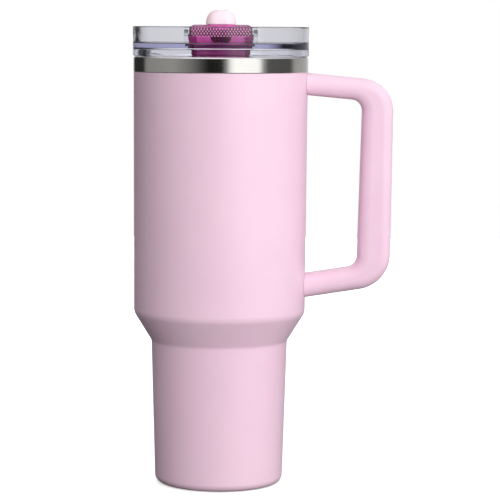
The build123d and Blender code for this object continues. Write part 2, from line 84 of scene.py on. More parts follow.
# %% A socket with operators
class Wire:
    """One output socket of a node tree, which arithmetic extends with more nodes."""

    def __init__(self, board, socket):
        self.board, self.socket = board, socket

    def _math(self, operation, *values):
        return self.board.add("ShaderNodeMath", {"operation": operation}, dict(enumerate(values)))

    def __add__(self, other): return self._math("ADD", self, other)
    def __radd__(self, other): return self._math("ADD", other, self)
    def __sub__(self, other): return self._math("SUBTRACT", self, other)
    def __rsub__(self, other): return self._math("SUBTRACT", other, self)
    def __mul__(self, other): return self._math("MULTIPLY", self, other)
    def __rmul__(self, other): return self._math("MULTIPLY", other, self)
    def __truediv__(self, other): return self._math("DIVIDE", self, other)
    def __pow__(self, other): return self._math("POWER", self, other)
    def sine(self): return self._math("SINE", self)
    def absolute(self): return self._math("ABSOLUTE", self)
    def angle(self, other): return self._math("ARCTAN2", self, other)


print("arithmetic on sockets ready")


# %% A node tree with one method for every node
class Board:
    """A node tree and one general method that adds any node."""

    def __init__(self, tree):
        self.tree = tree
        tree.nodes.clear()

    def add(self, kind, settings=None, inputs=None, output=0):
        """Adds a node, sets it, fills or links its inputs, and returns one of its outputs."""
        node = self.tree.nodes.new(kind)
        for name, value in (settings or {}).items():
            if name == "stops":
                ramp = node.color_ramp
                while len(ramp.elements) > 1:
                    ramp.elements.remove(ramp.elements[-1])
                for i, (place, colour) in enumerate(value):
                    stop = ramp.elements[0] if i == 0 else ramp.elements.new(place)
                    stop.position, stop.color = place, (*colour, 1.0)
            else:
                setattr(node, name, value)
        for key, value in (inputs or {}).items():
            if isinstance(value, Wire):
                self.tree.links.new(value.socket, node.inputs[key])
            else:
                node.inputs[key].default_value = value
        return Wire(self, node.outputs[output]) if node.outputs else None

    def place(self):
        """Object coordinates, in metres from the origin of the frame."""
        return self.add("ShaderNodeTexCoord", output="Object")

    def parts(self, vector):
        """The x, y and z of a vector."""
        return [self.add("ShaderNodeSeparateXYZ", {}, {0: vector}, output=i) for i in range(3)]

    def scaled(self, vector, factors):
        """A vector stretched along each axis."""
        return self.add("ShaderNodeVectorMath", {"operation": "MULTIPLY"}, {0: vector, 1: factors})

    def noise(self, vector, scale, detail=2.0, roughness=0.5):
        """Smooth noise between 0 and 1."""
        return self.add("ShaderNodeTexNoise", {}, {
            "Vector": vector, "Scale": scale, "Detail": detail, "Roughness": roughness})

    def fit(self, value, low, high, to_low=0.0, to_high=1.0):
        """A value carried smoothly from one range to another, and kept inside it."""
        return self.add("ShaderNodeMapRange", {"interpolation_type": "SMOOTHSTEP"}, {
            "Value": value, "From Min": low, "From Max": high, "To Min": to_low, "To Max": to_high})

    def blend(self, factor, first, second):
        """A mix of two colours."""
        return self.add("ShaderNodeMix", {"data_type": "RGBA"}, {
            0: factor, 6: first, 7: second}, output=2)

    def bump(self, height, distance, strength=1.0):
        """A normal tilted by a height field, whose full swing is distance in metres."""
        return self.add("ShaderNodeBump", {}, {
            "Strength": strength, "Distance": distance, "Height": height})


print("node board ready")


# %% Materials
def blank_material(name):
    """A new material with an empty board."""
    material = bpy.data.materials.new(name)
    material.use_nodes = True
    return material, Board(material.node_tree)


def finish(name):
    """A new material: an empty board, and a function that closes it with one Principled shader.

    A clear material may also have a tint, as (colour, density): light loses the colour's
    complement on its way through, so that a long way through looks deeper than a short one.
    """
    material, board = blank_material(name)

    def close(tint=None, **values):
        ends = {"Surface": board.add("ShaderNodeBsdfPrincipled", {}, {
            key.replace("_", " "): value for key, value in values.items()})}
        if tint:
            ends["Volume"] = board.add("ShaderNodeVolumeAbsorption", {}, {
                "Color": tint[0], "Density": tint[1]})
        board.add("ShaderNodeOutputMaterial", {}, ends)
        print(f"{name}: {len(board.tree.nodes)} nodes")
        return material

    return board, close


def wear(piece, material):
    """Puts one material on a piece."""
    piece.data.materials.clear()
    piece.data.materials.append(material)


print("material helpers ready")

# %% [markdown]
# ## Studio
#
# Steel and clear plastic show the room more than themselves, so the room is designed first. It is
# a band of panels at the height of the tumbler: a tall bright panel to the right of the camera,
# a darker gap on each side of it, a grey wall to the left and white paper behind. A ramp over the
# compass angle paints the band, and a soft white ceiling closes the room above it.
#
# The steel band needs strong panels, and the matte coating needs soft light that falls off to the
# left. One room can't be both, so the Light Path node gives matte surfaces only a small share of
# the panels, and the camera sees plain white paper in place of the room. Real panels on stands
# would do the same work, but would have to be moved for every new view.

# %% Studio room
PANELS_BY_DEGREE = [
    (-180, 0.50), (-166, 0.50), (-158, 0.02), (-122, 0.02), (-114, 0.22), (-64, 0.27),
    (-40, 0.16), (-24, 0.05), (-16, 0.01), (2, 0.01), (8, 0.25), (12, 0.80), (18, 1.08), (51, 1.05),
    (57, 0.30), (64, 0.08), (104, 0.07), (114, 0.30), (150, 0.36), (166, 0.50), (180, 0.50)]
PANEL_POWER, HELD_FROM_MATTE = 1.5, 0.78

world = bpy.data.worlds.new("studio")
bpy.context.scene.world = world
world.use_nodes = True
room = Board(world.node_tree)
east, north, up = room.parts(room.add("ShaderNodeTexCoord", output="Generated"))
compass = east.angle(0.0 - north) / (2 * pi) + 0.5
panels = room.add("ShaderNodeValToRGB", {"stops": [
    ((angle + 180) / 360, (level,) * 3) for angle, level in PANELS_BY_DEGREE]}, {0: compass})
ceiling = room.fit(up, 0.35, 0.75)
colour = room.blend(ceiling, panels, (0.80, 0.80, 0.81, 1.0))
matte = room.add("ShaderNodeLightPath", output="Is Diffuse Ray")
light = room.add("ShaderNodeBackground", {}, {
    "Color": colour, "Strength": PANEL_POWER * (1 - matte * HELD_FROM_MATTE)})
paper = room.add("ShaderNodeBackground", {}, {"Color": (1.0, 1.0, 1.0, 1.0), "Strength": 1.0})
seen = room.add("ShaderNodeLightPath", output="Is Camera Ray")
both = room.add("ShaderNodeMixShader", {}, {0: seen, 1: light, 2: paper})
room.add("ShaderNodeOutputWorld", {}, {"Surface": both})
print("room has", len(PANELS_BY_DEGREE), "panel edges")

# %% [markdown]
# ## Floor
#
# The tumbler stands on white paper. A round sheet a little below the base is enough. Paper that
# threw all its light back would wash out the taper's underside, so bounced light meets a dull
# grey paper and only the camera sees the bright one, which also glows a little so that its edge
# is lost against the white behind. A curved paper sweep is the studio's own way, and costs a
# seam in the views from other sides.

# %% Paper floor
FLOOR_RADIUS, FLOOR_GAP, FLOOR_STEPS = 1.5, 0.0002, 128

floor_disc = bpy.data.meshes.new("floor")
turn = np.linspace(0, 2 * pi, FLOOR_STEPS, endpoint=False)
rim = np.stack([FLOOR_RADIUS * np.cos(turn), FLOOR_RADIUS * np.sin(turn), 0 * turn - FLOOR_GAP],
               axis=1)
floor_disc.from_pydata(rim.tolist(), [], [list(range(FLOOR_STEPS))])
floor = bpy.data.objects.new("floor", floor_disc)
bpy.context.scene.collection.objects.link(floor)
floor_paper, board = blank_material("paper")
grain = board.noise(board.place(), 900.0, 4.0)
bright = board.add("ShaderNodeBsdfDiffuse", {}, {
    "Color": (0.95, 0.95, 0.95, 1.0), "Normal": board.bump(grain, 0.00005, 0.2)})
glow = board.add("ShaderNodeEmission", {}, {"Color": (1.0, 1.0, 1.0, 1.0), "Strength": 0.5})
lit = board.add("ShaderNodeAddShader", {}, {0: bright, 1: glow})
dull = board.add("ShaderNodeBsdfDiffuse", {}, {"Color": (0.12, 0.12, 0.12, 1.0)})
seen = board.add("ShaderNodeLightPath", output="Is Camera Ray")
board.add("ShaderNodeOutputMaterial", {}, {
    "Surface": board.add("ShaderNodeMixShader", {}, {0: seen, 1: dull, 2: lit})})
wear(floor, floor_paper)
print("paper disc of radius", FLOOR_RADIUS, "m")


# %% [markdown]
# ## Soft boxes
#
# Six rectangular lamps shape the matte surfaces: one overhead, one ahead, two to the right, and
# two behind so that the back isn't black. A lamp that shows in the clear lid looks like a haze
# over whatever lies behind it, so all but the top one are hidden from light that passes through
# the plastic, and all are hidden from mirror reflections, which belong to the room's panels.

# %% Soft boxes
def soft_box(name, place, aim, size, power, through_glass=False):
    """A rectangular lamp that points from one place to another, hidden from mirror reflections."""
    lamp = bpy.data.lights.new(name, "AREA")
    lamp.shape, lamp.size, lamp.size_y = "RECTANGLE", size[0], size[1]
    lamp.energy = power
    lamp_object = bpy.data.objects.new(name, lamp)
    lamp_object.location = place
    lamp_object.rotation_euler = (Vector(aim) - Vector(place)).to_track_quat("-Z", "Y").to_euler()
    lamp_object.visible_camera = False
    lamp_object.visible_glossy = False
    lamp_object.visible_transmission = through_glass
    bpy.context.scene.collection.objects.link(lamp_object)
    return lamp_object


MID_BODY = (0.0, 0.0, 0.14)
soft_boxes = [
    soft_box("top_box", (0.1, -0.1, 1.6), (0.0, 0.0, 0.1), (1.6, 1.6), 6.0, True),
    soft_box("key_box", (0.95, -0.95, 0.45), MID_BODY, (1.0, 1.0), 5.0),
    soft_box("front_box", (0.15, -1.5, 0.5), MID_BODY, (0.6, 0.8), 15.0),
    soft_box("side_box", (1.3, -0.15, 0.35), MID_BODY, (0.8, 0.8), 6.0),
    soft_box("back_box", (-0.1, 1.5, 0.6), MID_BODY, (1.0, 1.0), 12.0),
    soft_box("far_box", (-1.0, 1.3, 0.5), MID_BODY, (0.8, 0.8), 7.0)]
print(len(soft_boxes), "soft boxes")

# %% [markdown]
# ## Surfaces from numpy
#
# Most pieces are a closed loop of rings: each ring goes round the piece, and the rings follow an
# outline out, up, over and back to the start, so the surface is watertight with no poles. The
# points are one array of shape (rings, steps, 3), and the quads follow from the array's shape.
# The Spin tool turns an outline too, but it can only make circles, and here many rings change
# into rectangles and slots on their way.

# %% Grid to mesh
def settle(piece, body, stands_for=()):
    """Puts a finished piece in the scene, on its body and the nodes it hides."""
    bpy.context.scene.collection.objects.link(piece)
    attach(piece, body)
    if stands_for:
        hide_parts(*stands_for)


def grid_piece(name, points, body, stands_for=()):
    """A mesh from an array of points. Quad (i, j) joins rings i and i+1 and steps j and j+1.

    The last ring joins the first, and the last step the first, so the surface is a torus in
    structure, whatever its shape. The volume is the sum of the tetrahedra from the origin to
    every triangle: if it is negative, the faces point inwards and every quad is turned over.
    """
    rings, steps = points.shape[:2]
    index = np.arange(rings * steps).reshape(rings, steps)
    i, j = [a.ravel() for a in np.meshgrid(np.arange(rings), np.arange(steps), indexing="ij")]
    i2, j2 = (i + 1) % rings, (j + 1) % steps
    quads = np.stack([index[i, j], index[i, j2], index[i2, j2], index[i2, j]], axis=1)
    flat = points.reshape(-1, 3)
    a, b, c, d = (flat[quads[:, k]] for k in range(4))
    volume = np.einsum("ij,ij->i", a, np.cross(b, c) + np.cross(c, d)).sum() / 6
    if volume < 0:
        quads = quads[:, ::-1]
    mesh = bpy.data.meshes.new(name)
    mesh.vertices.add(rings * steps)
    mesh.vertices.foreach_set("co", points.reshape(-1).astype(np.float32))
    mesh.loops.add(quads.size)
    mesh.loops.foreach_set("vertex_index", quads.reshape(-1).astype(np.int32))
    mesh.polygons.add(len(quads))
    mesh.polygons.foreach_set("loop_start", np.arange(0, quads.size, 4, dtype=np.int32))
    mesh.polygons.foreach_set("use_smooth", np.ones(len(quads), bool))
    mesh.update(calc_edges=True)
    mesh.validate()
    piece = bpy.data.objects.new(name, mesh)
    settle(piece, body, stands_for)
    print(f"{name}: {rings} x {steps} points, {abs(volume) * 1e6:.2f} cm3")
    return piece


print("grid helpers ready")

# %% [markdown]
# ## Rounded outlines
#
# Nothing on a real tumbler has a knife edge. Every outline is written as the corners that a
# drawing would give, each with its radius, and a helper works out the arcs. A Bevel modifier
# could round the mesh later, but it can't give each corner its own radius without weights.

# %% Outlines
ARC_STEP, EDGE_SUPPORT, LONG_RUN, RUN_STEP = 0.35, 0.25, 12, 6


def rounded(corners):
    """A closed outline in mm from (x, y, radius) corners, each rounded by an arc, as an array.

    The arc of radius r in a corner of angle a starts r / tan(a / 2) before the corner. Straight
    runs are divided too, so that smooth shading has close rings beside every bend.
    """
    spots = np.array([c[:2] for c in corners], float)
    radii = [c[2] for c in corners]
    pieces = []
    for k, r in enumerate(radii):
        here, before, after = spots[k], spots[k - 1], spots[(k + 1) % len(spots)]
        u = (before - here) / np.linalg.norm(before - here)
        w = (after - here) / np.linalg.norm(after - here)
        half = np.arccos(np.clip(u @ w, -1, 1)) / 2
        reach = r / np.tan(half)
        middle = here + (u + w) / np.linalg.norm(u + w) * r / np.sin(half)
        start, end = here + u * reach - middle, here + w * reach - middle
        a0, a1 = np.arctan2(start[1], start[0]), np.arctan2(end[1], end[0])
        sweep = (a1 - a0 + pi) % (2 * pi) - pi
        steps = max(3, int(abs(sweep) * r / ARC_STEP) + 3)
        a = a0 + sweep * np.linspace(0, 1, steps)
        pieces.append(middle + r * np.stack([np.cos(a), np.sin(a)], axis=1))
    path = []
    for k, arc in enumerate(pieces):
        following = pieces[(k + 1) % len(pieces)][0]
        gap = np.linalg.norm(following - arc[-1])
        near = min(EDGE_SUPPORT, gap / 4) / max(gap, 1e-9)
        stops = np.array([near, 0.5, 1 - near]) if gap < LONG_RUN else np.concatenate(
            [[near], np.linspace(0, 1, int(gap / RUN_STEP) + 2)[1:-1], [1 - near]])
        path += [arc, arc[-1] + (following - arc[-1]) * stops[:, None]]
    return np.concatenate(path)


def spun_points(outline, steps=360):
    """Rings round Z: each (radius, height) point of the outline, in mm, sweeps a circle."""
    turn = np.linspace(0, 2 * pi, steps, endpoint=False)
    r, z = outline[:, 0, None] * MM, outline[:, 1, None] * MM
    return np.stack([r * np.cos(turn), r * np.sin(turn), z + 0 * turn], axis=2)


print("outline helpers ready")

# %% [markdown]
# ## Coated wall
#
# The vessel is one turned and pressed steel shell with a satin powder coat. Its outline goes up
# the foot, out over the taper, up to the bare band, and back down inside at the sheet's thickness.
# The CAD has the same shape, but its flat facets would show in the sheen of the coating, so the
# outline is spun again in finer steps. The millimetres are (radius, height, corner radius).

# %% Coated wall
PAINT_TOP = 230.9
wall_outline = rounded([
    (29.0, 0.0, 0.15), (35.8, 0.0, 4.4), (38.1, 80.6, 4.0), (48.0, 96.6, 8.0),
    (48.5, PAINT_TOP, 0.3), (48.0, PAINT_TOP, 0.1), (47.5, 96.8, 7.5), (37.6, 80.9, 4.5),
    (35.3, 0.5, 3.9), (29.0, 0.5, 0.15)])
coated_wall = grid_piece("coated_wall", spun_points(wall_outline), "vessel",
                         ["outer_wall"])

# %% [markdown]
# ## Steel liner and lip
#
# The liner is folded outwards at the mouth. The fold is the bright band above the coating, with a
# round lip that the lid's flange meets. Rolling or spinning makes it from a drawn cup. It could be
# one surface with the coated wall and two materials, but the paint's edge is a real step, and two
# pieces that nearly touch give that step for free.

# %% Steel liner
liner_outline = rounded([
    (48.0, PAINT_TOP + 0.02, 0.1), (48.7, PAINT_TOP + 0.02, 0.2), (48.7, 239.4, 1.0),
    (45.5, 239.4, 1.0), (45.0, 97.5, 5.0), (35.2, 81.9, 7.0), (33.4, 14.0, 0.1),
    (33.9, 14.0, 0.1), (35.7, 81.7, 6.5), (45.5, 97.3, 5.5), (46.0, 238.7, 0.2),
    (48.2, 238.7, 0.2)])
steel_liner = grid_piece("steel_liner", spun_points(liner_outline), "vessel",
                         ["inner_liner"])

# %% [markdown]
# ## Where the spout's parts meet
#
# The lid, the tub, the ears and the barrel all refer to the same few places: the line the spout
# turns on, and the two faces of the lid's floor. Naming them once keeps the parts together.

# %% Shared places, in mm
SPOUT_Y, AXLE_Z, FLOOR_Z, FLOOR_UNDER = -16.0, 250.2, 246.6, 244.2
print("axle is", round(AXLE_Z - FLOOR_Z, 2), "mm above the lid's floor")

# %% [markdown]
# ## Clear lid
#
# The lid is one clear moulding. Round its rim it is a solid of revolution, but its floor has a
# rectangular opening for the spout's tub. Both come from one grid: every ring keeps the same
# number of steps, the outer rings are circles, and the floor's rings change from the circle into
# the opening's rounded rectangle by plain interpolation. A Boolean cut would do it too, but it
# leaves long thin faces, and in a clear piece every bad face bends the light.

# %% The tub's opening
TUB = {"half_x": 15.8, "front": -24.9, "rear": 2.6, "round": 3.0}
TUB_MIDDLE = (0.0, (TUB["front"] + TUB["rear"]) / 2)
HALVINGS = 40


def run_in_tub(ray, grow, corner, far):
    """How far each ray runs from the tub's middle before it leaves its rounded rectangle.

    A rounded box has the signed distance length(max(|p| - inner, 0)) - radius. The ray's length
    is found by halving an interval on that distance, for all rays at once.
    """
    half = np.array([TUB["half_x"], (TUB["rear"] - TUB["front"]) / 2]) + grow
    low, high = np.zeros(len(ray)), np.full(len(ray), far)
    for _ in range(HALVINGS):
        mid = (low + high) / 2
        q = np.abs(ray * mid[:, None]) - (half - corner)
        outside = np.linalg.norm(np.maximum(q, 0), axis=1) + np.minimum(q.max(axis=1), 0) > corner
        low, high = np.where(outside, low, mid), np.where(outside, mid, high)
    return low[:, None]


def unit_circle(steps):
    """Points of a circle of radius 1, one for each step."""
    turn = np.linspace(0, 2 * pi, steps, endpoint=False)
    return np.stack([np.cos(turn), np.sin(turn)], axis=1)


print("tub is", 2 * TUB["half_x"], "by", TUB["rear"] - TUB["front"], "mm")

# %% Clear lid
WELL_RADIUS, LID_STEPS = 45.8, 480


def opening_ring(grow):
    """The grown rounded rectangle, met by rays from its middle towards the lid's circle."""
    ray = WELL_RADIUS * unit_circle(LID_STEPS) - np.array(TUB_MIDDLE)
    return np.array(TUB_MIDDLE) + ray * run_in_tub(ray, grow, TUB["round"] + grow, 1.0)


def lid_points():
    """Rings of the lid: the revolved outline, then the floor's underside, opening and top."""
    steps, circle = LID_STEPS, unit_circle(LID_STEPS)
    outline = rounded([
        (30.0, FLOOR_Z, 0.1), (WELL_RADIUS, FLOOR_Z, 1.0), (WELL_RADIUS, 256.0, 0.8),
        (49.0, 256.0, 0.6),
        (49.0, 239.7, 0.5), (44.6, 239.7, 0.3), (44.6, 234.6, 0.2), (43.1, 234.6, 0.2),
        (43.1, 229.4, 0.2), (44.6, 229.4, 0.2), (44.6, 225.0, 0.8), (41.8, 225.0, 0.8),
        (41.8, FLOOR_UNDER, 1.2), (30.0, FLOOR_UNDER, 0.1)])
    start = int(np.argmax(outline[:, 0] > 43.0))
    stop = len(outline) - int(np.argmax(outline[::-1, 0] > 40.0))
    turned = outline[start:stop]
    rings = [np.column_stack([circle * r, np.full(steps, z)]) for r, z in turned]
    narrow, wide = opening_ring(0.16), opening_ring(1.66)
    first, last = rings[0][:, :2], rings[-1][:, :2]
    shares = np.linspace(0, 1, 14)
    for t in shares[1:]:
        rings.append(np.column_stack([last * (1 - t) + narrow * t, np.full(steps, FLOOR_UNDER)]))
    for grow, z in ((0.10, FLOOR_UNDER), (0.10, 244.26), (0.10, 245.24), (0.10, 245.30),
                    (0.16, 245.30), (1.54, 245.30), (1.60, 245.30), (1.60, 245.36),
                    (1.60, 246.54), (1.60, FLOOR_Z), (1.66, FLOOR_Z)):
        rings.append(np.column_stack([opening_ring(grow), np.full(steps, z)]))
    for t in shares[1:-1]:
        rings.append(np.column_stack([wide * (1 - t) + first * t, np.full(steps, FLOOR_Z)]))
    return np.stack(rings) * MM


clear_lid = grid_piece("clear_lid", lid_points(), "lid", ["lid_shell"])

# %% [markdown]
# ## Ears of the lid
#
# Two clear ears stand on the lid's floor and hold the stub pins. Each is a flat outline given a
# thickness: the outline's points are repeated on both sides, and a Bevel modifier softens the
# edges, because a moulded edge always has a small radius that catches the light. Joining the ears
# to the lid would be truer to the moulding, but needs a Boolean in the clear piece, so they stand
# a hair above the floor.

# %% Slabs
def slab_piece(name, outline, low, high, axis, body, edge):
    """A flat outline in mm, extruded along X or Y from low to high, with bevelled edges.

    The outline holds the two other coordinates. Sides are quads between the two copies.
    """
    count = len(outline)
    along = {"X": 0, "Y": 1}[axis]
    others = [k for k in range(3) if k != along]
    points = np.zeros((2, count, 3))
    points[:, :, others] = outline
    points[0, :, along], points[1, :, along] = low, high
    k = np.arange(count)
    sides = np.stack([k, (k + 1) % count, (k + 1) % count + count, k + count], axis=1)
    mesh = bpy.data.meshes.new(name)
    mesh.from_pydata((points.reshape(-1, 3) * MM).tolist(), [],
                     [k[::-1].tolist(), (k + count).tolist()] + sides.tolist())
    work = bmesh.new()
    work.from_mesh(mesh)
    bmesh.ops.recalc_face_normals(work, faces=work.faces)
    work.to_mesh(mesh)
    work.free()
    piece = bpy.data.objects.new(name, mesh)
    bevel = piece.modifiers.new("soft edges", "BEVEL")
    bevel.width, bevel.segments, bevel.limit_method = edge * MM, 3, "ANGLE"
    bevel.angle_limit, bevel.harden_normals = radians(50), True
    mesh.polygons.foreach_set("use_smooth", np.ones(len(mesh.polygons), bool))
    settle(piece, body)
    print(f"{name}: slab of {count} outline points")
    return piece


print("slab helper ready")

# %% Ears
EAR_RADIUS, EAR_INNER, EAR_OUTER, SLIT = 4.2, 17.7, 20.1, 0.02

ear_arc = np.linspace(0, pi, 32)
ear_outline = np.concatenate([
    np.stack([SPOUT_Y + EAR_RADIUS * np.cos(ear_arc), AXLE_Z + EAR_RADIUS * np.sin(ear_arc)],
             axis=1),
    [[SPOUT_Y - EAR_RADIUS, FLOOR_Z + SLIT], [SPOUT_Y + EAR_RADIUS, FLOOR_Z + SLIT]]])
ears = [slab_piece(f"clear_ear_{side}", ear_outline, low, high, "X", "lid", 0.5)
        for side, low, high in (("left", -EAR_OUTER, -EAR_INNER), ("right", EAR_INNER, EAR_OUTER))]

# %% [markdown]
# ## Stub pins
#
# A short pin reaches from each ear into the end of the barrel, and the spout turns on the two. On
# the real lid they are moulded with the ears, so they are clear as well. One long pin through the
# barrel is the usual hinge, but it would cross the bore that one drinks through. Each is a lathed
# shape with a small chamfer, and ends at the ear's face: two clear solids that share a volume
# bend the light wrongly.

# %% Pins
PIN_INNER, PIN_OUTER, PIN_RADIUS, PIN_CHAMFER, POLE = 13.0, 17.69, 1.5, 0.2, 0.02


def pin_points(inner, outer, steps=48):
    """A closed pin along X: its rings start and end at a tiny radius on the axle."""
    turn = np.linspace(0, 2 * pi, steps, endpoint=False)
    stations = [(inner, POLE), (inner, PIN_RADIUS - PIN_CHAMFER),
                (inner + PIN_CHAMFER * np.sign(outer), PIN_RADIUS), (outer, PIN_RADIUS),
                (outer, POLE)]
    return np.stack([np.column_stack([
        np.full(steps, x), SPOUT_Y + r * np.cos(turn), AXLE_Z + r * np.sin(turn)])
        for x, r in stations]) * MM


stub_pins = [grid_piece(f"stub_pin_{side}", pin_points(*ends), "lid",
                        ["spout_pins"])
             for side, ends in (("left", (-PIN_INNER, -PIN_OUTER)),
                                ("right", (PIN_INNER, PIN_OUTER)))]

# %% [markdown]
# ## Spout tub
#
# The tub hangs in the floor's opening. It is again one grid of rings, which change from the straw
# socket's circle to the tub's rounded rectangle and back. A box with a tube joined on would need
# a Boolean and a fillet at the joint, where the rings' own change of shape is already smooth.

# %% Tub
TUB_STEPS, SMALLEST_CORNER, PAST_TUB = 240, 0.4, 60.0


def around(middle, shape):
    """A ring of points round a middle: a circle, or the tub's rounded rectangle when grown."""
    kind, size = shape
    ray = unit_circle(TUB_STEPS)
    if kind == "circle":
        return np.array(middle) + size * ray
    corner = max(TUB["round"] + size, SMALLEST_CORNER)
    return np.array(middle) + ray * run_in_tub(ray, size, corner, PAST_TUB)


port = (0.0, SPOUT_Y)
tub_rings = [
    (port, ("circle", 6.0), 226.5), (port, ("circle", 6.3), 226.8), (port, ("circle", 6.3), 239.4),
    (port, ("circle", 6.6), 240.0),
    (TUB_MIDDLE, ("box", -1.4), 240.0), (TUB_MIDDLE, ("box", -0.7), 240.1),
    (TUB_MIDDLE, ("box", -0.2), 240.4), (TUB_MIDDLE, ("box", 0.0), 241.0),
    (TUB_MIDDLE, ("box", 0.0), 245.7), (TUB_MIDDLE, ("box", 0.1), 245.8),
    (TUB_MIDDLE, ("box", 1.4), 245.8), (TUB_MIDDLE, ("box", 1.5), 245.9),
    (TUB_MIDDLE, ("box", 1.5), 246.45), (TUB_MIDDLE, ("box", 1.35), 246.6),
    (TUB_MIDDLE, ("box", -1.45), 246.6), (TUB_MIDDLE, ("box", -1.6), 246.4),
    (TUB_MIDDLE, ("box", -1.6), 242.4), (TUB_MIDDLE, ("box", -1.8), 241.8),
    (TUB_MIDDLE, ("box", -2.4), 241.6), (port, ("circle", 3.6), 241.6),
    (port, ("circle", 3.3), 241.3), (port, ("circle", 3.3), 238.1), (port, ("circle", 3.5), 238.0),
    (port, ("circle", 4.3), 238.0), (port, ("circle", 4.3), 226.8), (port, ("circle", 4.6), 226.5)]
tub_points = np.stack([
    np.column_stack([around(middle, shape), np.full(TUB_STEPS, z)])
    for middle, shape, z in tub_rings]) * MM
spout_tub = grid_piece("spout_tub", tub_points, "lid", ["spout_housing"])

# %% [markdown]
# ## Front wall and posts
#
# The tub's front wall rises above the lid's floor with a notch for the thumb, between two thicker
# posts that stand a little prouder. They are cut from outlines, as a template would be, because
# a notch is one more line in an outline and a hard cut in a grid of rings.

# %% Front wall and posts
WALL_TOP, WALL_THICK, POST_PROUD = 250.8, 1.6, 0.7
POST_INNER, POST_OUTER = 12.8, 17.3

wall_half, front = POST_INNER + 0.1, TUB["front"]
front_outline = rounded([
    (-wall_half, FLOOR_Z, 0.2), (wall_half, FLOOR_Z, 0.2), (wall_half, WALL_TOP, 0.3),
    (5.6, WALL_TOP, 0.6), (5.3, 247.0, 2.6), (-5.3, 247.0, 2.6), (-5.6, WALL_TOP, 0.6),
    (-wall_half, WALL_TOP, 0.3)])
spout_front = slab_piece("spout_front", front_outline, front, front + WALL_THICK, "Y", "lid",
                         0.25)
spout_posts = []
for name, side in (("left", -1), ("right", 1)):
    x_low, x_high = sorted((side * POST_INNER, side * POST_OUTER))
    post_outline = rounded([(x_low, FLOOR_Z, 0.2), (x_high, FLOOR_Z, 0.2),
                            (x_high, WALL_TOP, 1.0), (x_low, WALL_TOP, 1.0)])
    spout_posts.append(slab_piece(f"spout_post_{name}", post_outline, front - POST_PROUD,
                                  front + WALL_THICK, "Y", "lid", 0.3))

# %% [markdown]
# ## Knurled barrel
#
# The barrel is the thumb's grip. Its surface is one formula: the radius at a place along the axle
# and an angle round it. The formula starts from a cylinder, cuts the ends back to a quarter turn
# and a hub, sinks the bore's mouth, and takes small pyramids out of the quarter that the thumb
# pushes. Cutting real pyramids costs faces, but a bump map's flat outline shows at this size.

# %% Steps and zigzags
def soft_step(value, edge, width):
    """0 below the edge and 1 above it, with a smooth cubic change of the given width."""
    t = np.clip((value - edge) / width + 0.5, 0, 1)
    return t * t * (3 - 2 * t)


def triangle(value):
    """A zigzag between 0 and 1 that repeats every unit."""
    return 1 - np.abs(2 * (value - np.floor(value)) - 1)


print("a zigzag at 0, 1/4 and 1/2:", triangle(np.array([0, 0.25, 0.5])))

# %% The barrel's radius
KNURL_PITCH, KNURL_ROWS, KNURL_DEPTH, FLAT_TIPS = 1.65, 2.9, 0.5, 1.25
BARREL_HALF, BARREL_RADIUS, END_ROUND = 17.3, 6.8, 3.0
CORE_HALF, HUB_RADIUS, BORE_RADIUS, BORE_DEPTH = 13.7, 3.2, 3.0, 4.2


def pyramids(x, angle):
    """Heights from 0 in the grooves to 1 on the tips.

    Two zigzags cross along x + s and x - s, where s is the arc length, and the lower of the two
    makes a four-sided point, which is cut flat a little below its height.
    """
    s = np.radians(angle) * BARREL_RADIUS
    points = np.minimum(triangle(x / KNURL_PITCH + s / KNURL_ROWS),
                        triangle(x / KNURL_PITCH - s / KNURL_ROWS))
    return np.minimum(points * FLAT_TIPS, 1.0)


def barrel_radius(x, angle):
    """The barrel's radius in mm. angle is in degrees from straight up, positive to the front.

    A cylinder whose ends round off as a circle's height, sqrt(r^2 - past^2), and are cut back
    to a hub outside the thumb's quarter. The radius loses what is left of a full pyramid's height
    in that quarter, and a dish where the bore comes out, opposite the mouthpiece.
    """
    past = np.clip(np.abs(x) - (BARREL_HALF - END_ROUND), 0, END_ROUND)
    ends = BARREL_RADIUS - END_ROUND + np.sqrt(END_ROUND ** 2 - past ** 2)
    quarter = soft_step(angle, -1.0, 2.0) * (1 - soft_step(angle, 91.0, 2.0))
    beyond = soft_step(np.abs(x), CORE_HALF, 0.12)
    radius = BARREL_RADIUS * (1 - beyond) + (HUB_RADIUS + (ends - HUB_RADIUS) * quarter) * beyond
    knurled = (soft_step(angle, 6.0, 3.0) * (1 - soft_step(angle, 86.0, 3.0))
               * (1 - soft_step(np.abs(x), 15.9, 0.5)))
    radius = radius - KNURL_DEPTH * knurled * (1 - pyramids(x, angle))
    from_bore = np.hypot(x, np.radians(angle - 180.0) * BARREL_RADIUS)
    return radius - BORE_DEPTH * (1 - soft_step(from_bore, BORE_RADIUS, 0.4))


print("grooves are", KNURL_DEPTH, "mm deep and", KNURL_PITCH, "mm apart")

# %% Barrel
PIN_HOLE = PIN_RADIUS + 0.05

angles = np.concatenate([np.arange(-6, 94, 0.95), np.arange(94, 150, 3.0),
                         np.arange(150, 210, 1.2), np.arange(210, 354, 4.0)])
along = np.concatenate([[-BARREL_HALF], np.linspace(-17.28, 17.28, 290), [BARREL_HALF]])
grid_x, grid_angle = np.meshgrid(along, angles, indexing="ij")
radius = barrel_radius(grid_x, grid_angle)
core_ring = np.full_like(angles, POLE)
hole_ring = np.full_like(angles, PIN_HOLE)
radius = np.concatenate([[core_ring], [hole_ring], [hole_ring], radius,
                         [hole_ring], [hole_ring], [core_ring]])
ring_x = np.concatenate([[-PIN_INNER, -PIN_INNER, -BARREL_HALF], along,
                         [BARREL_HALF, PIN_INNER, PIN_INNER]])
turn = np.radians(angles)
barrel_points = np.stack([
    ring_x[:, None] + 0 * radius,
    SPOUT_Y - radius * np.sin(turn),
    AXLE_Z + radius * np.cos(turn)], axis=2) * MM
knurled_barrel = grid_piece("knurled_barrel", barrel_points, "spout",
                            ["spout_carrier"])

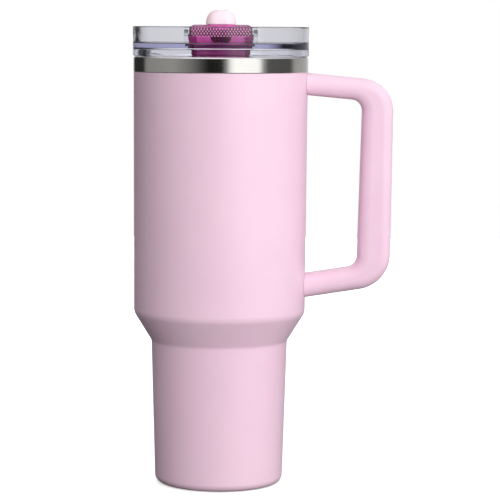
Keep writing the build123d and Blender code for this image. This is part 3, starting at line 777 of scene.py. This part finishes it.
# %% Tips as a value on the surface
# The stored value drives the thumb grip's painted highlight on the tips and painted shade in the
# grooves.
PLAIN_TIP = 0.32

in_quarter = ((grid_angle > 5) & (grid_angle < 87) & (np.abs(grid_x) < 16.1)).astype(float)
tips = np.zeros(barrel_points.shape[:2])
tips[3:-3] = PLAIN_TIP * (1 - in_quarter) + in_quarter * pyramids(grid_x, grid_angle)
knurled_barrel.data.attributes.new("tip", "FLOAT", "POINT").data.foreach_set(
    "value", tips.reshape(-1).astype(np.float32))
print(f"{int((tips > 0.9).sum())} points lie on tips")

# %% [markdown]
# ## Seat and mouthpiece
#
# The mouthpiece is soft silicone, pushed over a nipple on the barrel. Seen from above it is a
# slot shape: two half circles with straight sides. Its rings shrink over the crown to the slot
# that one drinks from, and then go down the inside. The crown's two sides follow a cosine raised to
# a power below 1, which is fuller than a plain dome, as a moulded lip is. Sculpting a sphere would
# give a likely shape too, but not one that fits its seat to a tenth of a millimetre.

# %% Slot-shaped rings
def slot_ring(half_x, half_y, z, steps=128):
    """A ring of a slot shape: a circle of radius half_y pulled apart along X to half_x."""
    turn = np.linspace(0, 2 * pi, steps, endpoint=False) + pi / steps
    x = np.sign(np.cos(turn)) * (half_x - half_y) + half_y * np.cos(turn)
    return np.column_stack([x, SPOUT_Y + half_y * np.sin(turn), np.full(steps, z)])


print("a slot ring has", len(slot_ring(2.0, 1.0, 0.0)), "points")

# %% Seat
SEAT_X, SEAT_Y, SEAT_FOOT, SEAT_TOP = 7.6, 4.6, 252.5, 257.15

seat_points = np.stack([slot_ring(*ring) for ring in (
    (SEAT_X, SEAT_Y, SEAT_FOOT), (SEAT_X, SEAT_Y, SEAT_TOP - 0.15),
    (SEAT_X - 0.15, SEAT_Y - 0.15, SEAT_TOP), (3.2, 3.1, SEAT_TOP),
    (3.0, 2.95, SEAT_TOP - 0.25), (3.0, 2.95, SEAT_FOOT))]) * MM
mouth_seat = grid_piece("mouth_seat", seat_points, "spout")

# %% Mouthpiece
CROWN_FOOT, CROWN_RISE, CROWN_X, CROWN_Y, SLOT_HALF = 257.5, 7.6, 6.7, 6.2, 1.6

crown = np.radians(np.linspace(0, 81, 28))
mouth_rings = [(8.1, 6.0, 257.2), (8.3, 6.2, 257.4)]
mouth_rings += [(SLOT_HALF + CROWN_X * cos(a) ** 0.85, CROWN_Y * cos(a) ** 0.75,
                 CROWN_FOOT + CROWN_RISE * sin(a)) for a in crown]
mouth_rings += [(2.75, 1.3, 264.9), (2.7, 1.15, 264.5), (2.7, 1.15, 261.9), (3.4, 1.3, 261.6),
                (5.4, 4.1, 261.6), (5.6, 4.3, 261.3), (5.6, 4.3, 257.5), (5.8, 4.5, 257.2)]
soft_mouth = grid_piece("soft_mouth", np.stack([slot_ring(*r) for r in mouth_rings]) * MM,
                        "spout", ["mouthpiece"])

# %% [markdown]
# ## Gasket
#
# The lid's silicone ring has two thin lips that bend against the steel. They make the pull that
# holds the lid in. It is spun from its cut face, as the mould for it is turned. A torus with a
# bump map would look the same from outside, but not when the lid is lifted out.

# %% Gasket
gasket_outline = rounded([
    (43.3, 229.6, 0.3), (44.3, 229.6, 0.2), (45.3, 230.4, 0.25), (45.3, 230.9, 0.25),
    (44.2, 231.7, 0.4), (44.2, 232.1, 0.4), (45.3, 232.9, 0.25), (45.3, 233.4, 0.25),
    (44.3, 234.4, 0.2), (43.3, 234.4, 0.3)])
soft_gasket = grid_piece("soft_gasket", spun_points(gasket_outline), "gasket_ring",
                         ["lid_gasket"])

# %% [markdown]
# ## Finishes
#
# Each finish is a formula over the place on the object, in metres, so that its grain has the size
# it has in life. Noise scales are in cycles per metre: 700 is a grain of about a millimetre and a
# half. Image textures could hold more detail, but would need seams and a size of their own.
#
# ## Powder coat
#
# The wall's paint is a powder melted on the steel in an oven. It keeps a fine orange peel and a
# tiny speckle, with a soft sheen from the clear skin on top. Two near pinks in slow clouds stop
# the large wall from looking like one flat fill.

# %% Powder coat
PINK = (0.87, 0.618, 0.745, 1.0)
PINK_DEEP = (0.85, 0.59, 0.725, 1.0)

board, close = finish("powder_coat")
place = board.place()
peel = board.noise(place, 700.0, 2.0)
speck = board.noise(place, 5200.0, 1.0)
cloud = board.noise(place, 22.0, 2.0)
powder_coat = close(
    Base_Color=board.blend(board.fit(cloud, 0.3, 0.7), PINK_DEEP, PINK),
    Roughness=board.fit(peel, 0.2, 0.8, 0.34, 0.42),
    Coat_Weight=0.12, Coat_Roughness=0.3,
    Normal=board.bump(peel * 0.7 + speck * 0.3, 0.00003, 0.5))
wear(coated_wall, powder_coat)

# %% [markdown]
# ## Handle plastic
#
# The handle is moulded in the paint's colour, with the fine even texture of a sparked mould in
# place of orange peel, and no clear skin. The same pinks are used, so that the two pieces match
# as the maker means them to. It goes straight on the CAD nodes, whose shape is right.

# %% Handle plastic
board, close = finish("handle_plastic")
place = board.place()
texture = board.noise(place, 3800.0, 2.0, 0.6)
cloud = board.noise(place, 40.0, 2.0)
handle_plastic = close(
    Base_Color=board.blend(board.fit(cloud, 0.3, 0.7), PINK_DEEP, PINK),
    Roughness=board.fit(texture, 0.25, 0.75, 0.36, 0.48),
    Normal=board.bump(texture, 0.00003, 0.5))
wear(nodes["handle_frame"], handle_plastic)
wear(nodes["handle_grip_insert"], handle_plastic)

# %% [markdown]
# ## Brushed steel
#
# The bare band is brushed while the vessel turns, so its lines run round it. Noise that is
# stretched along the rings and squeezed across them gives such lines. An anisotropic shader is
# the other way to do it, but its export is not dependable. Inside, the steel is only cleaned, so
# it is duller: the distance from the axis tells the two apart.

# %% Brushed steel
BAND_FROM, BAND_TO = 0.0462, 0.0470

board, close = finish("brushed_steel")
place = board.place()
x, y, z = board.parts(place)
radius = (x * x + y * y) ** 0.5
outside = board.fit(radius, BAND_FROM, BAND_TO)
lines = board.noise(board.scaled(place, (14.0, 14.0, 5200.0)), 1.0, 3.0, 0.6)
broad = board.noise(board.scaled(place, (6.0, 6.0, 700.0)), 1.0, 2.0)
shine = board.fit(broad * 0.5 + lines * 0.5, 0.3, 0.7, 0.09, 0.16)
satin = board.fit(lines, 0.3, 0.7, 0.40, 0.50)
brushed_steel = close(
    Base_Color=board.blend(
        outside,
        board.blend(lines, (0.70, 0.69, 0.67, 1.0), (0.84, 0.83, 0.81, 1.0)),
        board.blend(lines, (0.54, 0.53, 0.50, 1.0), (0.70, 0.69, 0.66, 1.0))),
    Metallic=board.fit(outside, 0.0, 1.0, 0.75, 1.0),
    Roughness=satin + outside * (shine - satin),
    Normal=board.bump(lines, 0.000012, 0.35))
wear(steel_liner, brushed_steel)
wear(nodes["inner_base"], brushed_steel)

# %% [markdown]
# ## Turned steel
#
# The base plate and the handle's brackets are plain stampings with the faint rings of a lathe or
# a die. A sine of the distance from the axis draws the rings, and a little noise keeps them from
# being perfect. The ring's height is a few thousandths of a millimetre, so a bump is enough.

# %% Turned steel
board, close = finish("turned_steel")
place = board.place()
x, y, z = board.parts(place)
radius = (x * x + y * y) ** 0.5
rings = board.noise(board.scaled(place, (60.0, 60.0, 60.0)), 1.0, 2.0)
groove = (radius * 9000.0 + rings * 4.0).sine()
turned_steel = close(
    Base_Color=board.blend(groove * 0.5 + 0.5, (0.46, 0.46, 0.45, 1.0), (0.62, 0.62, 0.61, 1.0)),
    Metallic=1.0, Roughness=board.fit(rings, 0.3, 0.7, 0.28, 0.4),
    Normal=board.bump(groove, 0.000006, 0.4))
for name in ("base_plate", "upper_handle_bracket", "lower_handle_bracket"):
    wear(nodes[name], turned_steel)

# %% [markdown]
# ## Polished steel
#
# The handle's screws are small, bright and a little scuffed from being driven. They are seen only
# with the insert off, but each piece of a part that comes apart deserves its finish.

# %% Polished steel
board, close = finish("polished_steel")
place = board.place()
scuff = board.noise(board.scaled(place, (900.0, 900.0, 120.0)), 1.0, 3.0)
polished_steel = close(
    Base_Color=board.blend(scuff, (0.58, 0.57, 0.55, 1.0), (0.72, 0.71, 0.69, 1.0)),
    Metallic=1.0, Roughness=board.fit(scuff, 0.3, 0.7, 0.1, 0.22))
wear(nodes["handle_screws"], polished_steel)

# %% [markdown]
# ## Clear plastic
#
# The lid is a clear moulding with a faint blue tint. The tint is in the depth of the plastic, so
# the floor seen edge-on shows a blue line while the thin wall stays nearly clear. A tint in the
# Base Color would colour every surface alike. A slow bump stands for the flow of the melt, which
# gives a moulded wall its lazy reflections. The index is set a little low, because each of the
# many thin walls adds a haze of its own that polished plastic doesn't show.

# %% Clear plastic
BLUE_TINT = ((0.72, 0.72, 0.89, 1.0), 30.0)

board, close = finish("clear_plastic")
place = board.place()
flow = board.noise(board.scaled(place, (300.0, 300.0, 900.0)), 1.0, 2.0)
sway = board.noise(board.scaled(place, (45.0, 45.0, 110.0)), 1.0, 1.5)
clear_plastic = close(
    tint=BLUE_TINT,
    Base_Color=board.blend(flow, (0.955, 0.955, 0.975, 1.0), (0.97, 0.97, 0.985, 1.0)),
    Roughness=board.fit(flow, 0.3, 0.7, 0.0, 0.012),
    IOR=1.3, Transmission_Weight=1.0,
    Normal=board.bump(sway, 0.0012, 0.35))
for piece in (clear_lid, *ears, *stub_pins):
    wear(piece, clear_plastic)

# %% [markdown]
# ## Tinted spout plastic
#
# The tub and the seat are moulded in a magenta that lets a little light through. Thick places,
# such as the posts beside the front wall, look much deeper than thin ones, so the colour changes
# with the distance from the middle: beyond about 13 mm it turns to a deep magenta of painted shade,
# which stands in for the light lost in thick plastic and for the shade at the posts. Real
# transmission would do this by itself, but behind a clear lid it needs far more samples than
# painted shade does.

# %% Tinted spout plastic
MAGENTA, MAGENTA_PALE = (0.78, 0.12, 0.49, 1.0), (0.90, 0.18, 0.60, 1.0)
# The third colour is painted shade, for thick places and the shade at the posts.
MAGENTA_PAINTED_SHADE = (0.42, 0.03, 0.23, 1.0)

board, close = finish("spout_plastic")
place = board.place()
cloud = board.noise(place, 160.0, 3.0)
fine = board.noise(place, 2600.0, 2.0)
x, y, z = board.parts(place)
# Painted shade: from 12.4 mm to 13.4 mm out from the middle the colour turns to the deep magenta, on
# the posts and the tub's ends.
painted_shade_mask = board.fit(x.absolute(), 0.0124, 0.0134)
spout_plastic = close(
    Base_Color=board.blend(
        painted_shade_mask, board.blend(board.fit(cloud, 0.3, 0.7), MAGENTA, MAGENTA_PALE), MAGENTA_PAINTED_SHADE),
    Roughness=board.fit(fine, 0.3, 0.7, 0.16, 0.26),
    Coat_Weight=0.4, Coat_Roughness=0.12,
    Normal=board.bump(fine, 0.00001, 0.4))
for piece in (spout_tub, spout_front, *spout_posts, mouth_seat):
    wear(piece, spout_plastic)

# %% [markdown]
# ## Thumb grip
#
# The knurl's tips are painted a bright pink, a painted highlight, and its grooves a near-black
# magenta, painted shade, so that the small pyramids read at this size. The tip value that was
# stored on the mesh drives the two colours, so colour and shape can't drift apart. The smooth
# barrel outside the knurl has a low stored value and takes a colour close to the dark one.

# %% Thumb grip
# Painted shade in the grooves and a painted highlight on the tips; the smooth barrel takes nearly the
# dark colour.
DARK_BARREL_AND_GROOVE_SHADE, TIP_PAINTED_HIGHLIGHT = (0.05, 0.0, 0.025, 1.0), (0.92, 0.34, 0.66, 1.0)

board, close = finish("thumb_grip")
place = board.place()
tip = board.add("ShaderNodeAttribute", {"attribute_name": "tip"}, output="Fac")
fine = board.noise(place, 2600.0, 2.0)
thumb_grip = close(
    # Painted highlight on the tips, painted shade in the grooves.
    Base_Color=board.blend(board.fit(tip, 0.25, 0.75), DARK_BARREL_AND_GROOVE_SHADE, TIP_PAINTED_HIGHLIGHT),
    Roughness=board.fit(fine, 0.3, 0.7, 0.22, 0.34),
    Coat_Weight=0.3, Coat_Roughness=0.15,
    Normal=board.bump(fine, 0.00001, 0.4))
wear(knurled_barrel, thumb_grip)

# %% [markdown]
# ## Silicones
#
# Silicone is soft to look at because light wanders in it before it comes out. The pale pink
# mouthpiece gets that from a small subsurface share. The seals are milky, with a part of the light
# going through, and the loop under the tub's flange is nearly clear, or it would show as a white
# frame through the lid. All have a fine dust-dry texture, which noise in the roughness gives.

# %% Mouthpiece silicone
SKIN_PINK, SKIN_PINK_PALE = (0.94, 0.70, 0.77, 1.0), (0.97, 0.76, 0.82, 1.0)

board, close = finish("soft_silicone")
place = board.place()
dust = board.noise(place, 2400.0, 3.0, 0.6)
cloud = board.noise(place, 120.0, 2.0)
soft_silicone = close(
    Base_Color=board.blend(board.fit(cloud, 0.3, 0.7), SKIN_PINK, SKIN_PINK_PALE),
    Roughness=board.fit(dust, 0.3, 0.7, 0.45, 0.6),
    Subsurface_Weight=0.3, Subsurface_Radius=(0.004, 0.002, 0.002),
    Normal=board.bump(dust, 0.00002, 0.4))
wear(soft_mouth, soft_silicone)

# %% Seal silicones
board, close = finish("milky_silicone")
place = board.place()
dust = board.noise(place, 2400.0, 3.0, 0.6)
milky_silicone = close(
    Base_Color=board.blend(dust, (0.78, 0.78, 0.80, 1.0), (0.88, 0.88, 0.90, 1.0)),
    Roughness=board.fit(dust, 0.3, 0.7, 0.35, 0.5),
    Transmission_Weight=0.35, IOR=1.41,
    Normal=board.bump(dust, 0.00002, 0.3))
wear(soft_gasket, milky_silicone)
for name in ("port_seal", "straw_seal", "vent_valve"):
    wear(nodes[name], milky_silicone)

board, close = finish("clear_silicone")
dust = board.noise(board.place(), 2400.0, 3.0, 0.6)
wear(nodes["housing_gasket"], close(
    Base_Color=board.blend(dust, (0.90, 0.88, 0.92, 1.0), (0.96, 0.94, 0.97, 1.0)),
    Roughness=board.fit(dust, 0.3, 0.7, 0.12, 0.22), Transmission_Weight=0.95, IOR=1.41))

# %% [markdown]
# ## Straw
#
# A straw is drawn through a die, so its marks run along it. The noise is therefore squeezed
# across the straw and stretched along it, the other way round from the brushed band's.

# %% Straw
board, close = finish("straw_plastic")
place = board.place()
draw_lines = board.noise(board.scaled(place, (1500.0, 1500.0, 8.0)), 1.0, 2.0)
straw_plastic = close(
    Base_Color=board.blend(draw_lines, (0.80, 0.42, 0.58, 1.0), (0.88, 0.52, 0.66, 1.0)),
    Roughness=board.fit(draw_lines, 0.3, 0.7, 0.15, 0.25),
    Transmission_Weight=0.3, IOR=1.49,
    Normal=board.bump(draw_lines, 0.00001, 0.3))
wear(nodes["straw"], straw_plastic)

# %% [markdown]
# ## Solder glass and getter
#
# The vacuum is closed by a bead of dark glass that melts over the pumping hole. The getter is a
# pressed pellet of metal powder that soaks up what gas is left. The one is glossy with small
# bubbles, the other rough and dull, and both are noise at the grain's own scale.

# %% Solder glass and getter
board, close = finish("solder_glass")
place = board.place()
bubbles = board.noise(place, 1500.0, 4.0)
wear(nodes["vacuum_seal"], close(
    Base_Color=board.blend(bubbles, (0.02, 0.02, 0.025, 1.0), (0.09, 0.085, 0.08, 1.0)),
    Roughness=board.fit(bubbles, 0.3, 0.7, 0.15, 0.4),
    Normal=board.bump(bubbles, 0.00008, 0.5)))

board, close = finish("getter_metal")
place = board.place()
sinter = board.noise(place, 3500.0, 4.0, 0.7)
wear(nodes["getter"], close(
    Base_Color=board.blend(sinter, (0.16, 0.16, 0.17, 1.0), (0.34, 0.34, 0.35, 1.0)),
    Metallic=0.8, Roughness=board.fit(sinter, 0.3, 0.7, 0.5, 0.8),
    Normal=board.bump(sinter, 0.00005, 0.6)))
print(len(bpy.data.materials), "materials")
